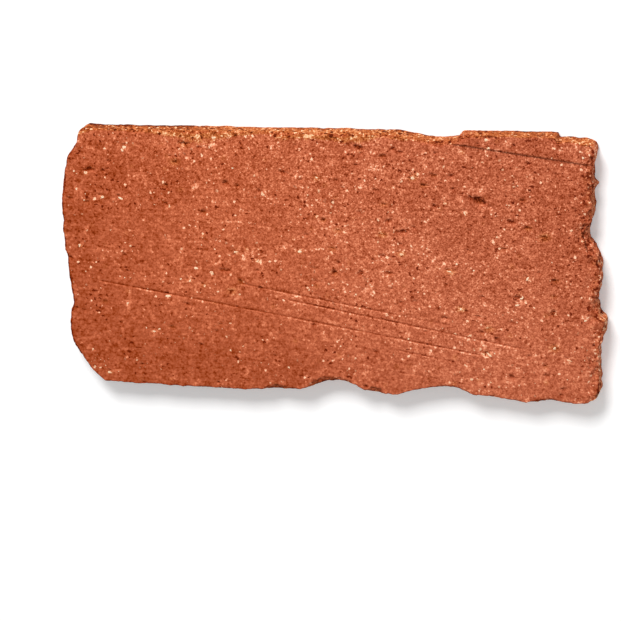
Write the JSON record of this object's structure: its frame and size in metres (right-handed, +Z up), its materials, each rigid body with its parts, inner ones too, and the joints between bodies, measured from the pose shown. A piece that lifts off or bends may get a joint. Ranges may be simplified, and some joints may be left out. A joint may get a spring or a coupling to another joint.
{
  "type": "brick tile",
  "caption": "Thin rectangular slice of fired red clay brick with a sawn upper face, worn rounded edges and corners, and a slightly raised strip beside one long edge.",
  "frame": {"origin": "centre of the bounding box in plan, at the height of the bed face that the tile rests on", "axes": "+X along the tile's length, +Y across its width towards the edge with the raised strip, +Z up out of the sawn face"},
  "size_m": [0.215, 0.105, 0.013],
  "materials": {
    "fired_clay": "matt, unglazed, finely speckled"
  },
  "bodies": {
    "root": {"brick_tile": "fired_clay"}
  },
  "joints": []
}
